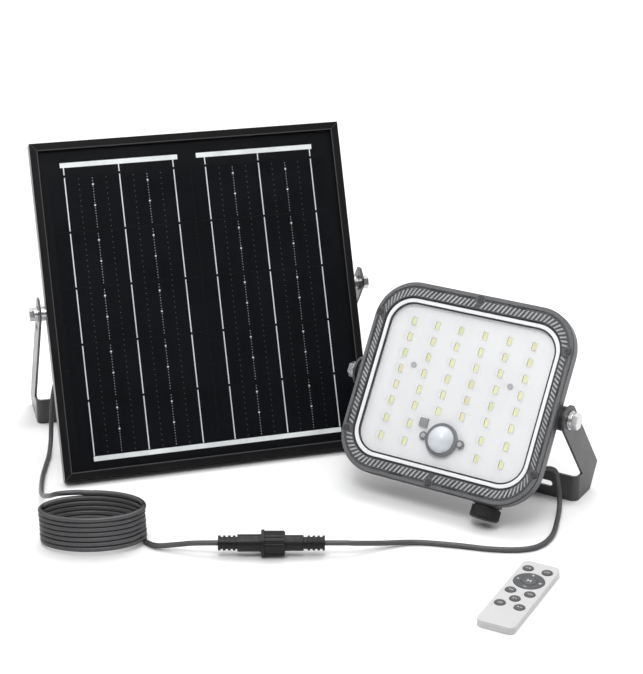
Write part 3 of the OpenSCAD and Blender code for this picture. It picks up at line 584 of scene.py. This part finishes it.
# Each node with its material and the rounding of its edges
SHOWN = (
    ("frame_corner_keys", "aluminium", 0), ("panel_glass", "solar_glass", 0),
    ("backsheet", "black_sheet", 0), ("junction_box", "black_plastic", 0.5),
    ("junction_box_lid", "black_plastic", 0.5), ("junction_box_screws", "zinc_steel", 0.25),
    ("panel_cable_gland", "black_plastic", 0.4), ("panel_pivot_blocks", "aluminium", 0),
    ("panel_pivot_bolts", "zinc_steel", 0.5), ("panel_pivot_washers", "zinc_steel", 0.2),
    ("panel_bracket", "panel_bracket_paint", 0.4), ("lamp_bracket", "lamp_bracket_paint", 0.45),
    ("socket_body", "black_plastic", 0.45), ("coupling_nut", "black_plastic", 0.4),
    ("plug_body", "black_plastic", 0.45), ("plug_pins", "brass_pins", 0.3),
    ("plug_seal", "seal_orange", 0.4), ("lamp_housing", "housing_paint", 0.6),
    ("cover_seal", "rubber_black", 0), ("cover_screws", "screw_steel", 0.2),
    ("reflector_frame", "white_plastic", 0.4), ("led_board", "board_white", 0),
    ("lens_plate", "lens_clear", 0.5), ("pir_ring", "silver_plastic", 0.35),
    ("pir_sensor", "zinc_steel", 0), ("board_screws", "steel", 0.2),
    ("sensor_window", "smoke_window", 0.5), ("battery_cells", "cell_wrap", 0.5),
    ("battery_holder", "black_plastic", 0), ("control_board", "circuit_board", 0),
    ("lamp_cable_gland", "black_plastic", 0.4), ("lamp_pivot_bolts", "zinc_steel", 0.6),
    ("lamp_pivot_washers", "zinc_steel", 0.25), ("lamp_pivot_pads", "rubber_black", 0.5),
    ("power_button", "red_plastic", 0.5), ("port_seal", "rubber_black", 0.4),
    ("remote_top_shell", "remote_white", 0.7), ("remote_bottom_shell", "remote_white", 0.6),
    ("remote_board", "circuit_board", 0), ("mode_button", "key_light", 0.35),
    ("ring_button", "key_grey", 0.35), ("battery_tray", "remote_white", 0.3),
    ("coin_cell", "zinc_steel", 0.3),
) + tuple((f"key_{k}", "key_grey", 0.35) for k in range(1, len(KEYS) + 1))
for shown in SHOWN:
    dress(*shown)


# ---------- solar panel ----------

def panel_rails_and_cells():
    """The mitred rails and the cells keep their CAD shape."""
    local_copy("rails_sides", "frame_side_rails", PANEL, "panel", "black_aluminium", 0.35)
    local_copy("rails_ends", "frame_end_rails", PANEL, "panel", "black_aluminium", 0.35)
    local_copy("cells", "solar_cells", PANEL, "panel", "silicon")


def cell_bottom(row):
    return CELL_MID + (row - (CELL_ROWS - 1) / 2) * CELL_PITCH - CELL_H / 2


def strip(shape, x, z1, z2, half=0.6, index=0):
    """An upright strip on the cells, from z1 to z2."""
    shape.box(x - half, x + half, RIBBON_FRONT, RIBBON_BACK, z1, z2, index)


def bright_ribbon(shape, x):
    """A wide ribbon, broken at each cell's edge and led on to the bus strips."""
    gap, cells_top = 1.1, 148.4
    for row in range(CELL_ROWS):
        low = cell_bottom(row)
        strip(shape, x, low + gap, low + CELL_H - gap)
    strip(shape, x, cells_top, TOP_BUS)
    strip(shape, x, LOW_BUS, CELLS_LOW + 0.2)


def dashed_ribbon(shape, x):
    """A fine ribbon of short dashes with two round solder points in each cell."""
    dashes, first, pitch, half_dash = 19, 3.4, 3.02, 0.55
    point = [(0, 4.66), (1.05, 4.69), (1.05, RIBBON_BACK), (0, RIBBON_BACK)]
    for row in range(CELL_ROWS):
        low = cell_bottom(row)
        for step in range(dashes):
            z = low + first + step * pitch
            strip(shape, x, z - half_dash, z + half_dash, 0.3, 3)
        for part in (0.45, 0.83):
            shape.turned(point, (x, low + part * CELL_H), 14)


def faint_line(shape, x):
    """A row of faint dots between two ribbons."""
    dots, first, pitch, half_dot = 51, 4, 6.03, 0.5
    for step in range(dots):
        z = CELLS_LOW + first + step * pitch
        strip(shape, x, z - half_dot, z + half_dot, 0.3, 1)


def panel_ribbons():
    shape = Shape()
    for half in (-0.5, 0.5):
        for k in range(RIBBONS):
            x = half * CELL_COLUMNS_APART + (k - (RIBBONS - 1) / 2) * RIBBON_PITCH
            if k % 2 == 0:
                bright_ribbon(shape, x)
            else:
                dashed_ribbon(shape, x)
            if k < RIBBONS - 1:
                faint_line(shape, x + RIBBON_PITCH / 2)
    for x1, x2, z in ((-143.6, -12.6, TOP_BUS), (8.6, 142.6, TOP_BUS), (-141, 141, LOW_BUS)):
        shape.box(x1, x2, RIBBON_FRONT - 0.02, RIBBON_BACK, z - BUS_HALF, z + BUS_HALF, 2)
    piece("ribbons", shape, PANEL, "panel", ["ribbon", "ribbon_faint", "bus_strip", "ribbon_dot"],
          ("cell_ribbons",))


panel_rails_and_cells()
panel_ribbons()


# ---------- flood light ----------

def near_screw(x, z, reach):
    return any((x - a) ** 2 + (z - b) ** 2 < reach ** 2 for a, b in SCREWS)


def cover_skin():
    """The clear sheet with its holes for the sensor and the screws."""
    skin = pierced([outline(*COVER, 16), circle(0, PIR_Z, PIR_R)]
                   + [circle(x, z, SCREW_R, 24) for x, z in SCREWS], 0.0, COVER_BACK)
    skin.materials.append(LOOK["clear_cover"])
    settle("cover_skin", skin, LAMP, "lamp_head", ("front_cover",))


def hatch(shape, divided):
    """Slanted ribs in the moat, one for each step of the outline."""
    far, near = outline(219.6, 199.4, 38.6, **divided), outline(209.0, 183.2, 32.6, **divided)
    count, half_rib, clear_of_screw = len(near), 1.02, 5.4
    front, back = 0.7, 1.8
    for i in range(count):
        a, b = Vector(near[i]), Vector(far[(i - 1) % count])
        before, after = Vector(near[i - 1]), Vector(near[(i + 1) % count])
        if (after - a).length < 1e-4 or near_screw(*((a + b) / 2), clear_of_screw):
            continue
        along = (after - before).normalized() * half_rib
        quad = [a - along, a + along, b + along, b - along]
        shape.prism(at_depth(quad, front), at_depth(quad, back), 2)


def clips(shape):
    """Dark clips on the straight sides of the outer channel."""
    channel = outline(222.4, 202.7, 40, 14, 36, 31)
    first, every, length = 3, 8, 4
    half_clip, clear_of_screw = 1.3, 12
    front, back = 0.66, 2.2
    for i in range(first, len(channel), every):
        a, b = Vector(channel[i]), Vector(channel[(i + length) % len(channel)])
        middle = Vector(channel[(i + length // 2) % len(channel)])
        bend = (middle - (a + b) / 2).length
        if bend > 0.3 or (b - a).length < 4 or near_screw(*((a + b) / 2), clear_of_screw):
            continue
        quad = stroke(a, b, half_clip)
        shape.prism(at_depth(quad, front), at_depth(quad, back), 3)


def cover_rim():
    """The moulded rim under the clear sheet: edge, channel, moat with ribs, clips, screw collars."""
    front, channel_floor, moat_floor = COVER_BACK + 0.02, 2.1, 1.75
    divided = dict(corner=12, across=29, up=25)
    outer, lip = outline(*COVER, **divided), outline(224.6, 205.2, 41, **divided)
    moat, inner = outline(220.6, 200.6, 39, **divided), outline(207.4, 181.4, 31.8, **divided)
    shape = Shape()
    shape.band(outer, lip, front, RIM_BACK, 1)
    shape.band(lip, moat, channel_floor, RIM_BACK, 0)
    shape.band(moat, inner, moat_floor, RIM_BACK, 0)
    hatch(shape, divided)
    clips(shape)
    hole, wall = SCREW_R + 0.1, SCREW_R + 1.6
    collar = [(hole, front), (wall, front), (wall, RIM_BACK), (hole, RIM_BACK)]
    for screw in SCREWS:
        shape.turned(collar, screw, 32, 1)
    piece("cover_rim", shape, LAMP, "lamp_head", ["rim", "rim_edge", "hatch", "rim_clip"])


def cover_dark_lines():
    """The two dark lines on either side of the white frame: the inner one is painted shadow, a black
    band in the joint where the reflector's inner edge casts its shade; the outer one is a thin dark
    band.
    """
    shape = Shape()
    # Painted shadow: the first band, just inside the white frame, is a black sheet in the black
    # rubber material put where the reflector's inner edge casts its shade.
    for far, near, front, back in (((195.4, 169.4, 26.7), (191.8, 165.8, 24.9), 3.9, 4.34),
                                   ((208.6, 182.6, 32.4), (204.0, 178.0, 30.1), 2.62, 2.68)):
        shape.band(outline(*far, 16), outline(*near, 16), front, back)
    piece("cover_dark_lines", shape, LAMP, "lamp_head", ["rubber_black"])


def led(shape, x, z, tone):
    """One package: case, yellow pad, dark strips of painted lens shade along its left and top edges,
    and a bright point.
    """
    half_w, half_h, front, back = 2.8, 4.7, 7.1, 7.95
    pad, pad_front, pad_back = outline(4.7, 8.5, 1.9, 6), 6.75, 7.15
    pad_x, pad_z = x + 0.15, z - 0.1
    shape.box(x - half_w, x + half_w, front, back, z - half_h, z + half_h, 0)
    shape.prism([(pad_x + p * 0.88, pad_front, pad_z + q * 0.94) for p, q in pad],
                [(pad_x + p, pad_back, pad_z + q) for p, q in pad], tone)
    # Painted shade: these two dark strips stand in for the shade the lens throws on the package's
    # left and top edges.
    shape.box(x - 2.7, x - 2.1, 7.0, 7.12, z - 3.2, z + 3.6, 5)
    shape.box(x - 2.2, x + 0.6, 7.0, 7.12, z + 4.2, z + 4.6, 5)
    shape.box(x - 1.4, x + 1.2, 6.7, 6.8, z - 3.6, z - 3.0, 4)


def leds(rng):
    """Six columns of eight; the two middle ones leave room for the motion sensor."""
    tones = (1, 1, 3, 3, 1, 2)
    last_even_row, widening = 5, 0.1
    shape = Shape()
    for i in range(LED_COLUMNS):
        for j in range(LED_ROWS):
            if j > last_even_row and i in (2, 3):
                continue
            x = (i - (LED_COLUMNS - 1) / 2) * LED_PITCH_X
            wider = max(0, j - last_even_row) * LED_PITCH_Z * widening
            z = LED_MID + ((LED_ROWS - 1) / 2 - j) * LED_PITCH_Z - wider
            led(shape, x, z, tones[rng.randrange(len(tones))])
    piece("leds", shape, LAMP, "lamp_head",
          ["led_case", "led_a", "led_b", "led_c", "led_b", "led_lens_shade"], ("led_packages",))


def knurled_cap():
    """The port's cap: half of its side has a diamond knurl, the other half grip ribs."""
    around, high = 240, 30
    turned_by, knurled_arc = pi * 5 / 9, pi * 10 / 9
    knurl_across, knurl_up, knurl_depth = 34, 1.9, 0.95
    rib_every, rib_wide, rib_height = 30, 2, 0.6
    wall = 3

    def plain(r, h):
        return [(r * cos(2 * pi * k / around), r * sin(2 * pi * k / around), h)
                for k in range(around)]

    def gripped(j):
        h = -CAP_H + 1.6 + (CAP_H - 3.6) * j / high
        fade = min(1.0, j / 3, (high - j) / 3)
        ring = []
        for k in range(around):
            a = 2 * pi * k / around
            if (a + turned_by) % (2 * pi) < knurled_arc:
                u, v = knurl_across * a, knurl_up * h
                diamond = abs(sin((u + v) / 2)) * abs(sin((u - v) / 2))
                r = CAP_R - 0.45 + knurl_depth * fade * diamond
            else:
                r = CAP_R - 0.1 + (rib_height * fade if k % rib_every < rib_wide else 0.0)
            ring.append((r * cos(a), r * sin(a), h))
        return ring

    shape = Shape()
    shape.rows([plain(0.01, -CAP_H), plain(11.5, -CAP_H), plain(13.6, -CAP_H + 0.15),
                plain(14.9, -CAP_H + 0.8)] + [gripped(j) for j in range(high + 1)]
               + [plain(15.2, CAP_OPEN - 0.1), plain(14.6, CAP_OPEN), plain(CAP_BORE, CAP_OPEN),
                  plain(CAP_BORE, -CAP_H + wall), plain(0.01, -CAP_H + wall)])
    piece("cap_knurled", shape, PORT, "cap", ["black_plastic"], ("port_cap",), 60)


rng = random.Random(7)
cover_skin()
cover_rim()
cover_dark_lines()
leds(rng)
local_copy("dome", "pir_dome", shifted(LAMP, 0, 0, PIR_Z), "lamp_head", "dome_white", angle=50)
knurled_cap()


# ---------- cables ----------

def sheath(name, path, at, body=None, nodes=(), radius=CABLE_R):
    return piece(name, tube(path, radius), at, body, ["cable_black"], nodes, 60)


def coil_turns(rng):
    """The coil's windings, each a little wider or narrower than the one below."""
    loops = [(rng.uniform(-0.5, 0.5), rng.uniform(-0.5, 0.5), rng.uniform(0, 6))
             for _ in range(COIL_TURNS + 2)]
    path = []
    for k in range(COIL_TURNS * COIL_STEPS + 16):
        a = 2 * pi * k / COIL_STEPS
        here, above = loops[k // COIL_STEPS], loops[k // COIL_STEPS + 1]
        t = (k % COIL_STEPS) / COIL_STEPS
        t = t * t * (3 - 2 * t)
        swell = here[0] * (1 - t) + above[0] * t + 0.25 * sin(3 * a + here[2])
        path.append(((COIL_RX + swell) * cos(a), (COIL_RY + swell) * sin(a),
                     LIE + COIL_RISE * k / COIL_STEPS))
    return path


def cable_of_panel(rng):
    """From the socket into the coil, and from the coil's top past the panel's side to its back."""
    plug = PLUG.translation / MM - COIL.translation / MM
    entry = [plug + Vector(p) for p in ((-54, 0, 0), (-62, 0, 0), (-70, 0, 0), (-90, 3, -2))]
    entry += [(85, -18.5, 7.5), (66, -14, 3.8), (55, -5.5, LIE), (COIL_RX + 0.2, -1, LIE)]
    top = LIE + COIL_RISE * (COIL_TURNS + 0.25)
    lead = [(-3, COIL_RY, top), (-20, COIL_RY + 0.5, top + 0.2), (-38, COIL_RY, top - 1),
            (-50, 41, 32), (-62, 70, 18), (-69, 106, 9), (-73.5, 144, 3.6), (-74.3, 178, 3),
            (-74.4, 196, 4), (-74.4, 213, 14), (-73.9, 223, 36), (-71.5, 228, 62), (-64, 230, 84),
            (-44, 234, 98), (-14, 240, 102), (18, 248, 98), (40, 256, 97), (51.5, 261.7, 104),
            PANEL_CABLE_END]
    path = smooth_path(entry, 6)[:-1] + coil_turns(rng) + smooth_path(lead, 8)
    sheath("cable_of_panel", path, COIL, "base", ("panel_cable",))


def cable_of_lamp():
    """From the plug along the ground and up behind the light."""
    ground = LIE - PLUG_Z
    path = [(26, 0, 0), (48, 0, 0), (60, 0, 0), (66, 0, 0), (76, 2, -1.5), (102, 13, -7.5),
            (136, 21, ground), (176, 15, ground), (212, 7, ground), (242, 6, ground),
            (262, 14, ground + 0.1), (277, 35, ground + 0.3), (287, 70, ground + 0.6),
            (292, 94, -5.5), (291.7, 104, 8), LAMP_CABLE_END]
    sheath("cable_of_lamp", smooth_path(path, 8), PLUG, "base", ("lamp_cable",))


def tail(name, start, start_way, gland, gland_way, reach):
    """The free end of a cable: it leaves the standing cable and bends into a gland."""
    a, b = Vector(start), Vector(gland)
    u, v = Vector(start_way).normalized() * reach, Vector(gland_way).normalized() * -reach
    steps, overlap, inside = 40, 1.5, 12
    path = [a - u.normalized() * overlap]
    for k in range(steps + 1):
        t = k / steps
        path.append((2 * t ** 3 - 3 * t * t + 1) * a + (t ** 3 - 2 * t * t + t) * u
                    + (3 * t * t - 2 * t ** 3) * b + (t ** 3 - t * t) * v)
    path.append(b + v.normalized() * inside)
    obj = sheath(name, path, Matrix.Identity(4), radius=CABLE_R - 0.02)
    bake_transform(obj)


def in_world(at, point):
    return (at @ (Vector(point) * MM)) / MM


cable_of_panel(rng)
cable_of_lamp()
tail("cable_tail_panel", in_world(COIL, PANEL_CABLE_END), (3, 1.3, 12),
     in_world(PANEL, (-40, 12.8, -14.5)), PANEL.to_3x3() @ Vector((0, 0, -1)), 40)
tail("cable_tail_lamp", in_world(PLUG, LAMP_CABLE_END), (-2.4, 3, 14),
     in_world(LAMP, (86, 38.0, -62)), LAMP.to_3x3() @ Vector((0, 1, 0)), 48)


# ---------- marks on the remote ----------

def strokes(name, body, centre, lines, top, width):
    """Thin printed strokes on a key, each from (x1, y1) to (x2, y2) about the key's centre."""
    proud, sunk = 0.03, 0.05
    shape = Shape()
    for x1, y1, x2, y2 in lines:
        quad = [Vector(centre) + p for p in stroke((x1, y1), (x2, y2), width / 2)]
        shape.prism([(p.x, p.y, top + proud) for p in quad],
                    [(p.x, p.y, top - sunk) for p in quad])
    piece(name, shape, REMOTE, body, ["mark_white"])


def bar(x, low=-0.9):
    """Upright stroke of a sign."""
    return (x, 0.9, x, low)


SIGNS = [
    [bar(-2.2), bar(-0.7), bar(0.8), (0.8, 0.9, 2.2, -0.9), bar(2.2)],
    [bar(-2.4), bar(-0.9), (-0.9, 0.8, 0.3, 0.8), bar(1.2), (1.2, 0.8, 2.4, 0.8)],
    [(-2.2, 0.8, -0.8, 0.8), (-0.8, 0.8, -0.8, -0.8), bar(0.6), bar(2.2), (0.6, 0.0, 2.2, 0.0)],
    [bar(-2.2, 0.0), (-2.2, 0.0, -0.8, 0.0), bar(-0.9), bar(0.6), bar(2.2), (0.6, 0.0, 2.2, 0.0)],
    [(-1.9, -0.8, -0.5, -0.8), (-1.9, 0.8, -0.5, 0.8), (-1.9, 0.8, -1.9, -0.8), bar(0.8),
     (0.8, 0.0, 2.0, 0.0)],
    [(-2.2, -0.8, -0.6, -0.8), (-0.6, 0.8, -0.6, -0.8), bar(0.9), bar(2.0)],
    [(-2.3, 0.8, -0.9, 0.8), (-2.3, 0.0, -0.9, 0.0), (-0.9, 0.8, -0.9, -0.8), bar(0.8), bar(2.2)],
]
MODE_SIGN = [(-1.8, -2, -1.8, 2), (-1.8, 2, 0, -0.6), (0, -0.6, 1.8, 2), (1.8, 2, 1.8, -2)]
RING_SIGNS = [(-1.5, 11.4, 1.5, 11.4), (0, 9.9, 0, 12.9), (-1.5, -11.4, 1.5, -11.4),
              (-12.6, 1.4, -10.4, 0), (-10.4, 0, -12.6, -1.4), (12.6, 1.4, 10.4, 0),
              (10.4, 0, 12.6, -1.4)]
for k, (key, sign) in enumerate(zip(KEYS, SIGNS), 1):
    strokes(f"mark_{k}", f"button_{k}", key, sign, KEY_TOP, 0.42)
strokes("mark_mode", "button_mode", RING_CENTRE, MODE_SIGN, KEY_TOP, 0.6)
strokes("mark_ring", "button_ring", RING_CENTRE, RING_SIGNS, RING_TOP, 0.6)


# ---------- stage, light and camera ----------

def lay_floor():
    """A pale floor that turns plain white far from the object."""
    half, below = 9, -0.0002
    mesh = bpy.data.meshes.new("floor")
    mesh.from_pydata([(-half, -half, below), (half, -half, below), (half, half, below),
                      (-half, half, below)], [], [(0, 1, 2, 3)])
    look, tree, shader = new_material("floor")
    shader.inputs["Base Color"].default_value = (0.93, 0.93, 0.935, 1)
    shader.inputs["Roughness"].default_value = 0.7
    shader.inputs["Specular IOR Level"].default_value = 0.2
    spot = add(tree, "NewGeometry").outputs["Position"]
    far = add(tree, "VectorMath", {0: spot}, operation="LENGTH").outputs["Value"]
    shader.inputs["Emission Color"].default_value = WHITE
    tree.links.new(spread(tree, far, 1.2, 3.2, 0, 0.4), shader.inputs["Emission Strength"])
    mesh.materials.append(look)
    floor = bpy.data.objects.new("floor", mesh)
    bpy.context.scene.collection.objects.link(floor)


def studio():
    """Soft white surroundings: bright behind and above the object, dim in front of it."""
    world = bpy.data.worlds.new("studio")
    bpy.context.scene.world = world
    world.use_nodes = True
    tree = world.node_tree
    way = add(tree, "SeparateXYZ", {"Vector": add(tree, "TexCoord").outputs["Generated"]})
    behind = spread(tree, way.outputs["Y"], -0.6, 0.3, 0, 1)
    above = spread(tree, way.outputs["Z"], 0.5, 0.9, 0, 1)
    level = spread(tree, maths(tree, "MAXIMUM", behind, above), 0, 1, 0.12, 1.22)
    seen = add(tree, "LightPath").outputs["Is Camera Ray"]
    level = add(tree, "Mix", {0: seen, 2: level, 3: 1.0}, data_type="FLOAT").outputs[0]
    background = tree.nodes["Background"]
    background.inputs["Color"].default_value = WHITE
    tree.links.new(level, background.inputs["Strength"])


def area(name, at, aim, size, power):
    """A round soft light at a place, turned to its aim."""
    light = bpy.data.lights.new(name, "AREA")
    light.shape = "DISK"
    light.size = size
    light.energy = power
    obj = bpy.data.objects.new(name, light)
    bpy.context.scene.collection.objects.link(obj)
    obj.location = at
    obj.rotation_euler = (Vector(aim) - Vector(at)).to_track_quat("-Z", "Y").to_euler()


def set_camera():
    """In front of the object and above it, looking down."""
    down = 22.2
    camera = bpy.data.cameras.new("camera")
    camera.lens = 90.8
    camera.sensor_width = 36
    viewer = bpy.data.objects.new("camera", camera)
    bpy.context.scene.collection.objects.link(viewer)
    viewer.location = (0.02536, -1.66616, 0.8516)
    viewer.rotation_euler = (radians(90 - down), 0, 0)
    bpy.context.scene.camera = viewer
    bpy.context.scene.view_settings.view_transform = "Standard"


lay_floor()
studio()
area("key_light", (-0.2, -1.2, 2.1), (0.0, 0.0, 0.1), size=1.1, power=22)
area("top_light", (0.3, 0.7, 2.3), (0.0, 0.0, 0.0), size=1.6, power=16)
set_camera()
